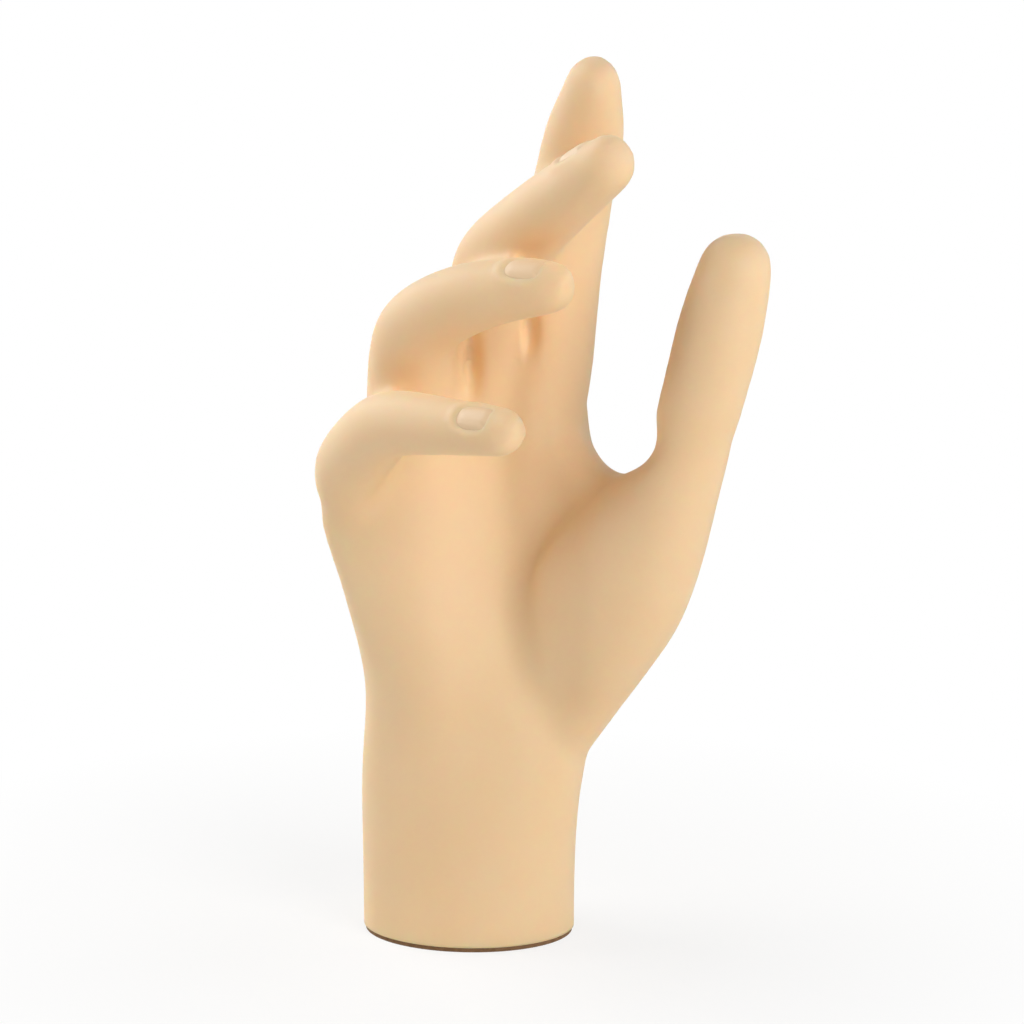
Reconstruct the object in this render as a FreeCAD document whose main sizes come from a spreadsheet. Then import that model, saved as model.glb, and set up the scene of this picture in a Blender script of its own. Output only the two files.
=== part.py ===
import FreeCAD, Part
import Sketcher
import math
import os
from FreeCAD import Placement, Vector

# Display hand, right hand, palm facing the viewer, standing on its cut wrist.
# Millimetres. The origin is the centre of the footprint on the table, +Z is up,
# +X is the thumb side and -Y is the palm side.

os.makedirs("parts", exist_ok=True)
doc = FreeCAD.newDocument("display_hand")

# Driving dimensions: name, value, what it is
SIZES = [
    ("wrist_half_width", 26.0, "wrist, half its width at the table"),
    ("wrist_half_depth", 20.0, "wrist, half its depth at the table"),
    ("wrist_turn", "6 deg", "turn of the wrist's oval, thumb side forward"),
    ("palm_half_width", 34.0, "palm, half its width below the knuckles"),
    ("palm_height", 140.0, "top of the palm above the table"),
    ("cup_depth", 12.0, "how far the palm's borders come forward of its middle"),
    ("heel_pad_height", 3.5, "swell of the pad on the little finger's side"),
    ("skin_wall", 3.0, "wall of the moulded skin"),
    ("index_girth", 20.5, "index finger, width at its root"),
    ("index_hand_bone", 40.5, "index finger, bone inside the palm"),
    ("index_first_bone", 44.5, "index finger, knuckle to middle joint"),
    ("index_second_bone", 22.5, "index finger, middle joint to last joint"),
    ("index_tip_bone", 19.0, "index finger, last joint to its end"),
    ("middle_girth", 20.5, "middle finger, width at its root"),
    ("middle_hand_bone", 38.0, "middle finger, bone inside the palm"),
    ("middle_first_bone", 40.0, "middle finger, knuckle to middle joint"),
    ("middle_second_bone", 28.5, "middle finger, middle joint to last joint"),
    ("middle_tip_bone", 28.0, "middle finger, last joint to its end"),
    ("ring_girth", 18.5, "ring finger, width at its root"),
    ("ring_hand_bone", 32.5, "ring finger, bone inside the palm"),
    ("ring_first_bone", 39.0, "ring finger, knuckle to middle joint"),
    ("ring_second_bone", 24.5, "ring finger, middle joint to last joint"),
    ("ring_tip_bone", 21.5, "ring finger, last joint to its end"),
    ("little_girth", 16.3, "little finger, width at its root"),
    ("little_hand_bone", 30.5, "little finger, bone inside the palm"),
    ("little_first_bone", 33.5, "little finger, knuckle to middle joint"),
    ("little_second_bone", 18.5, "little finger, middle joint to last joint"),
    ("little_tip_bone", 21.5, "little finger, last joint to its end"),
    ("thumb_girth", 21.5, "thumb, width that its tables are shares of"),
    ("thumb_hand_bone", 40.5, "thumb, wrist to the middle of its ball"),
    ("thumb_first_bone", 39.5, "thumb, ball to knuckle"),
    ("thumb_second_bone", 27.0, "thumb, knuckle to last joint"),
    ("thumb_tip_bone", 36.0, "thumb, last joint to its end"),
    ("web_half_thickness", 8.5, "skin fold between thumb and index finger"),
    ("nail_half_width", 4.9, "index finger's nail, half its width"),
    ("nail_half_length", 5.8, "index finger's nail, half its length"),
    ("nail_thickness", 0.9, "nail plate"),
    ("nail_proud", 0.3, "nail plate above the skin"),
    ("nail_gap", 0.08, "glue line round and under a nail"),
    ("pad_thickness", 1.2, "non-slip pad under the wrist"),
    ("pad_inset", 0.6, "pad edge inside the wrist's outline"),
    ("plug_thickness", 12.0, "plug that closes the wrist"),
    ("plug_gap", 0.5, "plug to the skin's wall, filled with glue"),
    ("ballast_radius", 13.0, "steel ballast bar"),
    ("ballast_length", 34.0, "steel ballast bar"),
    ("ballast_chamfer", 1.0, "edge break of the ballast bar"),
    ("bolt_radius", 3.0, "M6 ballast screw"),
    ("bolt_reach", 14.0, "screw thread inside the ballast"),
    ("bolt_head_radius", 5.0, "M6 socket head"),
    ("bolt_head_height", 6.0, "M6 socket head"),
    ("bolt_head_sunk", 0.4, "socket head above the plug's underside"),
    ("bolt_socket_width", 5.0, "hexagon socket, across flats"),
    ("bolt_socket_depth", 3.0, "hexagon socket"),
    ("bolt_clearance", 0.3, "screw in the plug's hole, radial"),
    ("thread_clearance", 0.1, "screw in the tapped ballast, radial"),
    ("washer_radius", 6.0, "M6 washer, outer"),
    ("washer_thickness", 1.6, "M6 washer"),
    ("counterbore_gap", 0.5, "washer in the plug's counterbore, radial"),
    ("foam_gap", 0.3, "glue line between ballast and foam"),
    ("foam_half_width", 19.0, "foam block, half its width"),
    ("foam_half_depth", 8.0, "foam block, half its depth"),
    ("foam_length", 40.0, "foam block, its height"),
    ("overrun", 2.0, "how far cutting shapes run past a face"),
]

sheet = doc.addObject("Spreadsheet::Sheet", "Sizes")
for row, (alias, value, note) in enumerate(SIZES, 1):
    sheet.set("A%d" % row, note)
    sheet.set("B%d" % row, str(value))
    sheet.setAlias("B%d" % row, alias)
doc.recompute()


def size(alias):
    return float(sheet.get(alias))


# Sections of the forearm and palm, from the table upwards. Every row gives
# height (of palm_height), centre x (of wrist_half_width), centre y (of wrist_half_depth),
# widening from wrist to palm, closing at the top, thickness behind and in front
# (of wrist_half_depth), arch (of cup_depth), heel pad (of heel_pad_height),
# squareness of the outline, the section's tilt in degrees, and its share of wrist_turn.
PALM_SHARES = [
    (0.00, 0.00, 0.000, 0.00, 1.00, 1.000, 1.000, 0.00, 0.0, 1.00, 0, 1.0),
    (0.14, 0.00, 0.000, 0.00, 1.00, 0.975, 0.975, 0.00, 0.0, 1.00, 0, 1.0),
    (0.26, 0.01, 0.000, 0.10, 1.00, 0.900, 0.900, 0.00, 0.0, 0.93, 0, 0.8),
    (0.36, 0.11, 0.015, 0.25, 1.00, 0.840, 0.840, 0.04, 0.3, 0.87, 0, 0.4),
    (0.46, 0.13, 0.025, 0.23, 1.00, 0.750, 0.800, 0.25, 0.7, 0.85, 1, 0.0),
    (0.57, 0.07, 0.100, 0.45, 1.00, 0.675, 0.700, 0.58, 1.0, 0.85, 4, 0.0),
    (0.69, 0.01, 0.200, 0.75, 1.00, 0.575, 0.550, 0.88, 0.9, 0.85, 8, 0.0),
    (0.80, -0.11, 0.250, 1.00, 1.00, 0.525, 0.500, 1.00, 0.4, 0.85, 13, 0.0),
    (0.89, -0.10, 0.225, 0.88, 1.00, 0.450, 0.450, 0.92, 0.0, 0.85, 19, 0.0),
    (0.955, -0.04, 0.125, 0.88, 0.84, 0.340, 0.375, 0.67, 0.0, 0.85, 25, 0.0),
    (1.00, -0.04, 0.050, 0.88, 0.54, 0.190, 0.240, 0.33, 0.0, 0.85, 28, 0.0),
]
HOLLOW_SHARE = 0.35
HEEL_PAD_SHARES = (-0.55, 0.38)
PALM_POINT_COUNT = 20
DIGIT_POINT_COUNT = 14

# Sections along a finger: bone, place along it, then half width, thickness behind
# and thickness in front, all of the finger's girth.
FINGER_SHARES = [
    (0, 0.20, 0.25, 0.25, 0.25),
    (0, 0.60, 0.42, 0.42, 0.45),
    (1, -0.02, 0.52, 0.52, 0.54),
    (1, 0.35, 0.51, 0.49, 0.58),
    (1, 0.70, 0.48, 0.46, 0.52),
    (2, 0.00, 0.50, 0.50, 0.46),
    (2, 0.50, 0.465, 0.44, 0.47),
    (3, 0.00, 0.44, 0.42, 0.41),
]
INDEX_SHARES = FINGER_SHARES[:-1] + [
    (3, 0.00, 0.475, 0.43, 0.42),
    (3, 0.35, 0.400, 0.38, 0.41),
]
MIDDLE_SHARES = FINGER_SHARES[:4] + [
    (1, 0.70, 0.50, 0.55, 0.52),
    (2, 0.00, 0.51, 0.60, 0.46),
    (2, 0.50, 0.465, 0.43, 0.47),
    (3, 0.00, 0.44, 0.42, 0.41),
]
RING_SHARES = [
    (0, 0.20, 0.25, 0.25, 0.25),
    (0, 0.60, 0.42, 0.42, 0.38),
    (1, -0.02, 0.60, 0.56, 0.50),
    (1, 0.35, 0.58, 0.59, 0.60),
    (1, 0.70, 0.54, 0.60, 0.55),
    (2, 0.00, 0.52, 0.61, 0.46),
    (2, 0.50, 0.47, 0.51, 0.46),
    (3, 0.00, 0.44, 0.43, 0.41),
]
LITTLE_SHARES = [
    (0, 0.20, 0.25, 0.25, 0.25),
    (0, 0.60, 0.45, 0.42, 0.45),
    (1, -0.02, 0.61, 0.62, 0.56),
    (1, 0.35, 0.56, 0.50, 0.58),
    (1, 0.70, 0.52, 0.50, 0.54),
    (2, 0.00, 0.50, 0.50, 0.48),
    (2, 0.50, 0.46, 0.44, 0.47),
    (3, 0.00, 0.41, 0.40, 0.40),
]
THUMB_SHARES = [
    (0, 0.00, 0.50, 0.40, 0.40),
    (0, 0.60, 0.74, 0.60, 0.60),
    (1, 0.00, 0.88, 0.68, 0.70),
    (1, 0.30, 0.885, 0.70, 0.70),
    (1, 0.70, 0.68, 0.64, 0.63),
    (2, 0.00, 0.49, 0.55, 0.55),
    (2, 0.50, 0.44, 0.48, 0.48),
    (3, 0.00, 0.455, 0.47, 0.46),
    (3, 0.40, 0.475, 0.46, 0.49),
]

# Each digit: where it starts inside the hand (x of palm_half_width, y of wrist_half_depth,
# z of palm_height), its section table, the round end's reach and its three half sizes
# (of the girth), which way its back faces at the root, the turn of its back along its
# length in degrees, and for each bone the lean to the thumb side and the curl to the front.
DIGITS = {
    "index": dict(
        root_shares=(0.38, 0.20, 0.66), sections=INDEX_SHARES,
        end_shares=(0.33, 0.325, 0.31, 0.34), back=(0.0, 1.0), turn=0,
        headings=[(8, 6), (6, 6), (12, 18), (8, 16)]),
    "middle": dict(
        root_shares=(0.09, 0.25, 0.66), sections=MIDDLE_SHARES,
        end_shares=(0.37, 0.345, 0.32, 0.36), back=(-0.7, 0.7), turn=-22,
        headings=[(5, 0), (0, 18), (44, 43), (44, 43)]),
    "ring": dict(
        root_shares=(-0.265, 0.05, 0.64), sections=RING_SHARES,
        end_shares=(0.38, 0.355, 0.33, 0.35), back=(-0.85, 0.5), turn=-15,
        headings=[(-9, -3), (4, 32), (62, 34), (82, 31)]),
    "little": dict(
        root_shares=(-0.62, -0.20, 0.63), sections=LITTLE_SHARES,
        end_shares=(0.41, 0.37, 0.34, 0.37), back=(-0.8, 0.6), turn=-13,
        headings=[(-17, 3), (36, 52), (88, 41), (85, 39)]),
    "thumb": dict(
        root_shares=(0.555, -0.05, 0.346), sections=THUMB_SHARES,
        end_shares=(0.44, 0.41, 0.38, 0.42), back=(0.5, 0.85), turn=0,
        headings=[(18, 19), (30, 19), (13, 15), (13, 4)]),
}
BONES = ("hand_bone", "first_bone", "second_bone", "tip_bone")
JOINT_BEND_SHARE = 0.28
# Round end: how far along it and how wide each of its last sections is
END_SHARES = [(0.0, 1.0), (0.42, 0.95), (0.80, 0.70), (1.0, 0.33)]

# The fold between thumb and index finger, from inside the palm to inside the thumb:
# x (of palm_half_width), y (of wrist_half_depth), its top and foot (of palm_height).
WEB_SHARES = [
    (0.35, 0.15, 0.985, 0.60),
    (0.65, -0.15, 0.957, 0.585),
    (0.88, -0.475, 0.843, 0.60),
    (1.135, -0.85, 0.831, 0.643),
    (1.36, -1.15, 0.845, 0.70),
    (1.55, -1.40, 0.92, 0.77),
]
WEB_BACK = Vector(0.6, 0.8, 0)
WEB_SQUARENESS = 0.8

# Nails: place of the plate's middle along the last bone, and its size against the index
# finger's nail
NAIL_PLACE_SHARES = {"index": 0.48, "middle": 0.56, "ring": 0.54, "little": 0.53, "thumb": 0.56}
NAIL_SIZE_SHARES = {"index": 1.0, "middle": 1.0, "ring": 0.92, "little": 0.84, "thumb": 1.3}
NAIL_SQUARENESS = 0.7
NAIL_POINT_COUNT = 12


def signed_power(value, power):
    return math.copysign(abs(value) ** power, value)


def section(centre, side, back, half_width, behind, front, count, squareness=1.0, arch=0.0, pad=0.0):
    """Points of one closed section; its two borders come forward by the arch."""
    points = []
    for k in range(count):
        angle = 2 * math.pi * k / count
        across = signed_power(math.cos(angle), squareness)
        deep = signed_power(math.sin(angle), squareness)
        forward = arch * ((across - HOLLOW_SHARE) / (1 + HOLLOW_SHARE)) ** 2
        if deep < 0:
            place, spread = HEEL_PAD_SHARES
            forward += pad * -deep * math.exp(-(((across - place) / spread) ** 2))
        thickness = behind if deep > 0 else front
        points.append(centre + side * (half_width * across) + back * (thickness * deep - forward))
    return points


def skin_solid(sections, tip=None):
    """A solid under a smooth skin that follows the sections, flat at its first section.

    The skin is one cubic surface, periodic round the sections. It ends flat too,
    or, where a tip is given, runs together there."""
    count = len(sections[0])
    swell = 3 / (2 + math.cos(2 * math.pi / count))
    rows = []
    for points in sections:
        middle = sum(points, Vector()) / count
        rows.append([middle + (point - middle) * swell for point in points])
    if tip is not None:
        rows.append([tip] * count)
    around = list(range(count + 1))
    lengthwise = list(range(len(rows) - 2))
    surface = Part.BSplineSurface()
    surface.buildFromPolesMultsKnots(
        [list(column) for column in zip(*rows)], [1] * len(around),
        [4] + [1] * (len(lengthwise) - 2) + [4], around, lengthwise, True, False, 3, 3)
    flat_ends = [surface.vIso(lengthwise[0])]
    if tip is None:
        flat_ends.append(surface.vIso(lengthwise[-1]))
    caps = [Part.Face(Part.Wire([curve.toShape()])) for curve in flat_ends]
    shell = Part.makeShell([surface.toShape()] + caps)
    shell.sewShape()
    solid = Part.makeSolid(shell)
    if solid.Volume < 0:
        solid.reverse()
    return solid


def heading(lean, curl):
    lean, curl = math.radians(lean), math.radians(curl)
    return Vector(math.sin(lean) * math.cos(curl), -math.sin(curl), math.cos(lean) * math.cos(curl))


def palm_sections(inset=0.0, first=0, last=None):
    """The forearm and palm, or the space inside a wall of the given inset."""
    wrist = size("wrist_half_width")
    depth = size("wrist_half_depth")
    sections = []
    for row in PALM_SHARES[first:last]:
        height, x, y, widening, closing, behind, front, arch, pad, squareness, tilt, turn = row
        tilt = math.radians(tilt)
        turn = -math.radians(size("wrist_turn") * turn)
        half_width = (wrist + (size("palm_half_width") - wrist) * widening) * closing
        foot = size("pad_thickness")
        centre = Vector(wrist * x, depth * y, foot + (size("palm_height") - foot) * height)
        sections.append(section(
            centre, Vector(math.cos(tilt) * math.cos(turn), math.sin(turn), math.sin(tilt)),
            Vector(-math.sin(turn), math.cos(turn), 0),
            half_width - inset, depth * behind - inset, depth * front - inset,
            PALM_POINT_COUNT, squareness, size("cup_depth") * arch, size("heel_pad_height") * pad))
    return sections


def along(joints, bone, share):
    """Place and direction on a digit's axis, with each joint rounded."""
    bend = JOINT_BEND_SHARE
    run = [b - a for a, b in zip(joints, joints[1:])]
    if share > 1 - bend and bone < len(run) - 1:
        corner, s = bone + 1, (share - (1 - bend)) / (2 * bend)
    elif share < bend and bone > 0:
        corner, s = bone, 0.5 + share / (2 * bend)
    else:
        return joints[bone] + run[bone] * share, Vector(run[bone]).normalize()
    before = joints[corner] - run[corner - 1] * bend
    after = joints[corner] + run[corner] * bend
    place = before * (1 - s) ** 2 + joints[corner] * (2 * s * (1 - s)) + after * s ** 2
    way = (joints[corner] - before) * (1 - s) + (after - joints[corner]) * s
    return place, way.normalize()


def digit_joints(name):
    x, y, z = DIGITS[name]["root_shares"]
    joints = [Vector(size("palm_half_width") * x, size("wrist_half_depth") * y, size("palm_height") * z)]
    for bone, (lean, curl) in zip(BONES, DIGITS[name]["headings"]):
        joints.append(joints[-1] + heading(lean, curl) * size("%s_%s" % (name, bone)))
    return joints


def digit_frames(name):
    """Every section of a digit: centre, axis, side, back and its three half sizes as shares."""
    data = DIGITS[name]
    joints = digit_joints(name)
    reach, end_width, end_behind, end_front = data["end_shares"]
    last = len(joints) - 2
    end_start = 1 - reach * size(name + "_girth") / size(name + "_tip_bone")
    stations = list(data["sections"])
    for reach_share, width_share in END_SHARES:
        stations.append((
            last, end_start + (1 - end_start) * reach_share,
            end_width * width_share, end_behind * width_share, end_front * width_share))
    carried = Vector(data["back"][0], data["back"][1], 0)
    frames = []
    for k, (bone, share, width, behind, front) in enumerate(stations):
        centre, way = along(joints, bone, share)
        carried = (carried - way * carried.dot(way)).normalize()
        turn = math.radians(data["turn"]) * k / (len(stations) - 1)
        back = carried * math.cos(turn) + carried.cross(way).normalize() * math.sin(turn)
        frames.append((centre, way, back.cross(way).normalize(), back, width, behind, front))
    return frames


def digit(name):
    """A digit's skin, from inside the hand to its round end."""
    girth = size(name + "_girth")
    sections = [
        section(centre, side, back, girth * width, girth * behind, girth * front, DIGIT_POINT_COUNT)
        for centre, way, side, back, width, behind, front in digit_frames(name)]
    return skin_solid(sections, digit_joints(name)[-1])


def web():
    sections = []
    back = Vector(WEB_BACK).normalize()
    for x, y, top, foot in WEB_SHARES:
        top, foot = size("palm_height") * top, size("palm_height") * foot
        centre = Vector(size("palm_half_width") * x, size("wrist_half_depth") * y, (top + foot) / 2)
        sections.append(section(
            centre, Vector(0, 0, 1), back, (top - foot) / 2, size("web_half_thickness"),
            size("web_half_thickness"), DIGIT_POINT_COUNT, WEB_SQUARENESS, 0.0))
    return skin_solid(sections)


def nail_seat(name):
    """Where a nail lies on the back of its finger's end: its middle, the way it runs, its
    side, the way it faces, and the radius that it is curved to."""
    girth = size(name + "_girth")
    reach = size("nail_half_length") * NAIL_SIZE_SHARES[name]
    joints = digit_joints(name)
    centre, way = along(joints, len(joints) - 2, NAIL_PLACE_SHARES[name])
    frames = sorted(digit_frames(name), key=lambda frame: (frame[0] - centre).dot(way))
    nearest = min(frames, key=lambda frame: (frame[0] - centre).Length)
    back = nearest[3] - way * nearest[3].dot(way)
    back.normalize()
    ends = []
    for step in (-reach, reach):
        for before, after in zip(frames, frames[1:]):
            start = (before[0] - centre).dot(way)
            run = (after[0] - centre).dot(way) - start
            if start <= step <= start + run:
                share = (step - start) / run
                thickness = girth * (before[5] * (1 - share) + after[5] * share)
                ends.append(centre + way * step + back * thickness)
    slope = (ends[-1] - ends[0]).normalize()
    side = back.cross(way).normalize()
    return (ends[0] + ends[-1]) / 2, slope, side, slope.cross(side).normalize(), girth * nearest[4]


def nail_prism(name, gap):
    """A nail's outline, pushed out through the back of the finger's end."""
    half_width = size("nail_half_width") * NAIL_SIZE_SHARES[name] + gap
    half_length = size("nail_half_length") * NAIL_SIZE_SHARES[name] + gap
    middle, way, side, back, radius = nail_seat(name)
    points = []
    for k in range(NAIL_POINT_COUNT):
        angle = 2 * math.pi * k / NAIL_POINT_COUNT
        across = half_width * signed_power(math.cos(angle), NAIL_SQUARENESS)
        lengthwise = half_length * signed_power(math.sin(angle), NAIL_SQUARENESS)
        points.append(middle - back * radius + side * across + way * lengthwise)
    outline = Part.BSplineCurve()
    outline.interpolate(Points=points, PeriodicFlag=True)
    return Part.Face(Part.Wire([outline.toShape()])).extrude(back * (2 * radius))


def nail_round(name, growth):
    """The round bar that a nail is curved over, grown by so much."""
    middle, way, side, back, radius = nail_seat(name)
    length = size("nail_half_length") * NAIL_SIZE_SHARES[name] + size("overrun")
    return Part.makeCylinder(radius + growth, 2 * length, middle - back * radius - way * length, way)


def set_shape(label, shape):
    feature = doc.addObject("Part::Feature", label)
    feature.Label = label
    feature.Shape = shape
    feature.Placement = Placement()
    return feature


def make_skin_and_nails():
    """The moulded skin in one piece, hollow in the palm and wrist, and its glued nails."""
    skin = skin_solid(palm_sections())
    for name in ("thumb", "index", "middle", "ring", "little"):
        skin = skin.fuse(digit(name))
    skin = skin.fuse(web())
    skin = skin.cut(skin_solid(palm_sections(size("skin_wall"), 0, -2)))
    sunk = size("nail_thickness") - size("nail_proud")
    nails = []
    for name in DIGITS:
        tube = nail_round(name, size("nail_proud")).cut(nail_round(name, -sunk))
        nails.append((name + "_nail", nail_prism(name, 0.0).common(tube)))
        bed = nail_prism(name, size("nail_gap")).cut(nail_round(name, -sunk - size("nail_gap")))
        skin = skin.cut(bed)
    return [set_shape("hand_shell", skin)] + [set_shape(label, shape) for label, shape in nails]


def oval(name, inset, thickness, height=""):
    """An oval plate that follows the wrist's outline, less an inset."""
    outline = doc.addObject("Part::Ellipse", name + "_outline")
    outline.setExpression("MajorRadius", "Sizes.wrist_half_width - (%s)" % inset)
    outline.setExpression("MinorRadius", "Sizes.wrist_half_depth - (%s)" % inset)
    outline.setExpression("Placement.Rotation.Angle", "-Sizes.wrist_turn")
    plate = doc.addObject("Part::Extrusion", name + "_plate")
    plate.Base = outline
    plate.DirMode = "Custom"
    plate.Dir = Vector(0, 0, 1)
    plate.Solid = True
    plate.setExpression("LengthFwd", thickness)
    if height:
        outline.setExpression("Placement.Base.z", height)
    return plate


def make_foam_core():
    """Oval block of light foam that stands on the ballast and backs the palm."""
    outline = doc.addObject("Part::Ellipse", "foam_outline")
    outline.setExpression("MajorRadius", "Sizes.foam_half_width")
    outline.setExpression("MinorRadius", "Sizes.foam_half_depth")
    outline.setExpression(
        "Placement.Base.z",
        "Sizes.pad_thickness + Sizes.plug_thickness + Sizes.ballast_length + Sizes.foam_gap")
    block = doc.addObject("Part::Extrusion", "foam_core")
    block.Base = outline
    block.DirMode = "Custom"
    block.Dir = Vector(0, 0, 1)
    block.Solid = True
    block.setExpression("LengthFwd", "Sizes.foam_length")
    block.Label = "foam_core"
    return block


def bore(name, radius, depth, height):
    cylinder = doc.addObject("Part::Cylinder", name)
    cylinder.setExpression("Radius", radius)
    cylinder.setExpression("Height", depth)
    cylinder.setExpression("Placement.Base.z", height)
    return cylinder


def make_base_pad():
    """Thin pad glued under the wrist; its edge is the dark line at the rim."""
    plate = oval("base_pad", "Sizes.pad_inset", "Sizes.pad_thickness")
    plate.Label = "base_pad"
    return plate


def make_wrist_plug():
    """Oval plug in the wrist's opening, bored and counterbored for the ballast screw."""
    plate = oval(
        "wrist_plug", "Sizes.skin_wall + Sizes.plug_gap", "Sizes.plug_thickness", "Sizes.pad_thickness")
    hole = bore(
        "plug_hole", "Sizes.bolt_radius + Sizes.bolt_clearance",
        "Sizes.plug_thickness + 2 * Sizes.overrun", "Sizes.pad_thickness - Sizes.overrun")
    counterbore = bore(
        "plug_counterbore", "Sizes.washer_radius + Sizes.counterbore_gap",
        "Sizes.bolt_head_sunk + Sizes.bolt_head_height + Sizes.washer_thickness + Sizes.overrun",
        "Sizes.pad_thickness - Sizes.overrun")
    holes = doc.addObject("Part::Fuse", "plug_holes")
    holes.Base, holes.Tool = hole, counterbore
    plug = doc.addObject("Part::Cut", "wrist_plug")
    plug.Base, plug.Tool = plate, holes
    plug.Label = "wrist_plug"
    return plug


def new_body(label, height):
    body = doc.addObject("PartDesign::Body", label)
    body.Label = label
    body.setExpression("Placement.Base.z", height)
    return body


def new_sketch(body, name, role="XY_Plane"):
    drawing = body.newObject("Sketcher::SketchObject", name)
    plane = [feature for feature in body.Origin.OriginFeatures if feature.Role == role][0]
    drawing.AttachmentSupport = [(plane, "")]
    drawing.MapMode = "FlatFace"
    return drawing


def add_circle(drawing, name, alias):
    """A circle about the sketch's origin whose radius is a cell of the sheet."""
    circle = drawing.addGeometry(Part.Circle(Vector(), Vector(0, 0, 1), size(alias)))
    drawing.addConstraint(Sketcher.Constraint("Coincident", circle, 3, -1, 1))
    radius = drawing.addConstraint(Sketcher.Constraint("Radius", circle, size(alias)))
    drawing.renameConstraint(radius, name)
    drawing.setExpression("Constraints." + name, "Sizes." + alias)


def add_hexagon(drawing, alias):
    """A hexagon about the sketch's origin, its width across flats a cell of the sheet."""
    apothem = size(alias) / 2
    corner = apothem / math.cos(math.pi / 6)
    angles = [k * math.pi / 3 for k in range(6)]
    corners = [Vector(corner * math.cos(angle), corner * math.sin(angle), 0) for angle in angles]
    sides = [drawing.addGeometry(Part.LineSegment(corners[k], corners[(k + 1) % 6])) for k in range(6)]
    ring = drawing.addGeometry(Part.Circle(Vector(), Vector(0, 0, 1), corner), True)
    drawing.addConstraint(Sketcher.Constraint("Coincident", ring, 3, -1, 1))
    for k, side in enumerate(sides):
        drawing.addConstraint(Sketcher.Constraint("Coincident", side, 2, sides[(k + 1) % 6], 1))
        drawing.addConstraint(Sketcher.Constraint("PointOnObject", side, 1, ring))
        if k:
            drawing.addConstraint(Sketcher.Constraint("Equal", side, sides[0]))
    drawing.addConstraint(Sketcher.Constraint("PointOnObject", sides[0], 1, -1))
    length = drawing.addConstraint(Sketcher.Constraint("Diameter", ring, 2 * corner))
    drawing.renameConstraint(length, "corners")
    drawing.setExpression("Constraints.corners", "Sizes.%s / cos(30)" % alias)


def add_pad(body, drawing, name, length):
    pad = body.newObject("PartDesign::Pad", name)
    pad.Profile = drawing
    pad.setExpression("Length", length)
    drawing.Visibility = False
    return pad


def add_pocket(body, drawing, name, length, upwards):
    pocket = body.newObject("PartDesign::Pocket", name)
    pocket.Profile = drawing
    pocket.Reversed = upwards
    pocket.setExpression("Length", length)
    return pocket


def make_ballast():
    """Short steel bar with broken edges, tapped from below."""
    body = new_body("ballast_weight", "Sizes.pad_thickness + Sizes.plug_thickness")
    outline = new_sketch(body, "bar_outline")
    add_circle(outline, "radius", "ballast_radius")
    bar = add_pad(body, outline, "bar", "Sizes.ballast_length")
    doc.recompute()
    broken = body.newObject("PartDesign::Chamfer", "broken_edges")
    rims = ["Edge%d" % (k + 1) for k, edge in enumerate(bar.Shape.Edges) if edge.isClosed()]
    broken.Base = (bar, rims)
    broken.setExpression("Size", "Sizes.ballast_chamfer")
    hole = new_sketch(body, "tapped_outline")
    radius = size("bolt_radius") + size("thread_clearance")
    circle = hole.addGeometry(Part.Circle(Vector(), Vector(0, 0, 1), radius))
    hole.addConstraint(Sketcher.Constraint("Coincident", circle, 3, -1, 1))
    named = hole.addConstraint(Sketcher.Constraint("Radius", circle, radius))
    hole.renameConstraint(named, "radius")
    hole.setExpression("Constraints.radius", "Sizes.bolt_radius + Sizes.thread_clearance")
    add_pocket(body, hole, "tapped_hole", "Sizes.bolt_reach + Sizes.overrun", True)
    return body


def make_bolt():
    """Socket head screw, head down, that holds the ballast on the plug."""
    body = new_body("ballast_bolt", "Sizes.pad_thickness + Sizes.bolt_head_sunk")
    head = new_sketch(body, "head_outline")
    add_circle(head, "radius", "bolt_head_radius")
    add_pad(body, head, "head", "Sizes.bolt_head_height")
    shank = new_sketch(body, "shank_outline")
    add_circle(shank, "radius", "bolt_radius")
    add_pad(
        body, shank, "shank",
        "Sizes.plug_thickness - Sizes.bolt_head_sunk + Sizes.bolt_reach")
    socket = new_sketch(body, "socket_outline")
    add_hexagon(socket, "bolt_socket_width")
    add_pocket(body, socket, "socket", "Sizes.bolt_socket_depth", True)
    return body


def make_washer():
    body = new_body(
        "ballast_washer", "Sizes.pad_thickness + Sizes.bolt_head_sunk + Sizes.bolt_head_height")
    ring = new_sketch(body, "washer_outline")
    add_circle(ring, "outer", "washer_radius")
    inner = size("bolt_radius") + size("bolt_clearance")
    circle = ring.addGeometry(Part.Circle(Vector(), Vector(0, 0, 1), inner))
    ring.addConstraint(Sketcher.Constraint("Coincident", circle, 3, -1, 1))
    named = ring.addConstraint(Sketcher.Constraint("Radius", circle, inner))
    ring.renameConstraint(named, "inner")
    ring.setExpression("Constraints.inner", "Sizes.bolt_radius + Sizes.bolt_clearance")
    add_pad(body, ring, "washer", "Sizes.washer_thickness")
    return body


pieces = make_skin_and_nails()
pieces.append(make_foam_core())
pieces.append(make_wrist_plug())
pieces.append(make_ballast())
pieces.append(make_bolt())
pieces.append(make_washer())
pieces.append(make_base_pad())
doc.recompute()

# Nothing is written unless every object is sound
for item in doc.Objects:
    if "Invalid" in item.State or "Error" in item.State:
        raise RuntimeError("%s did not build: %s" % (item.Label, item.State))
for piece in pieces:
    if piece.Shape.isNull() or not piece.Shape.isValid() or len(piece.Shape.Solids) != 1:
        raise RuntimeError("%s is not one sound solid" % piece.Label)

for piece in pieces:
    piece.Shape.exportStep("parts/%s.step" % piece.Label)
    print("%-16s %9.0f mm3" % (piece.Label, piece.Shape.Volume))
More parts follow.
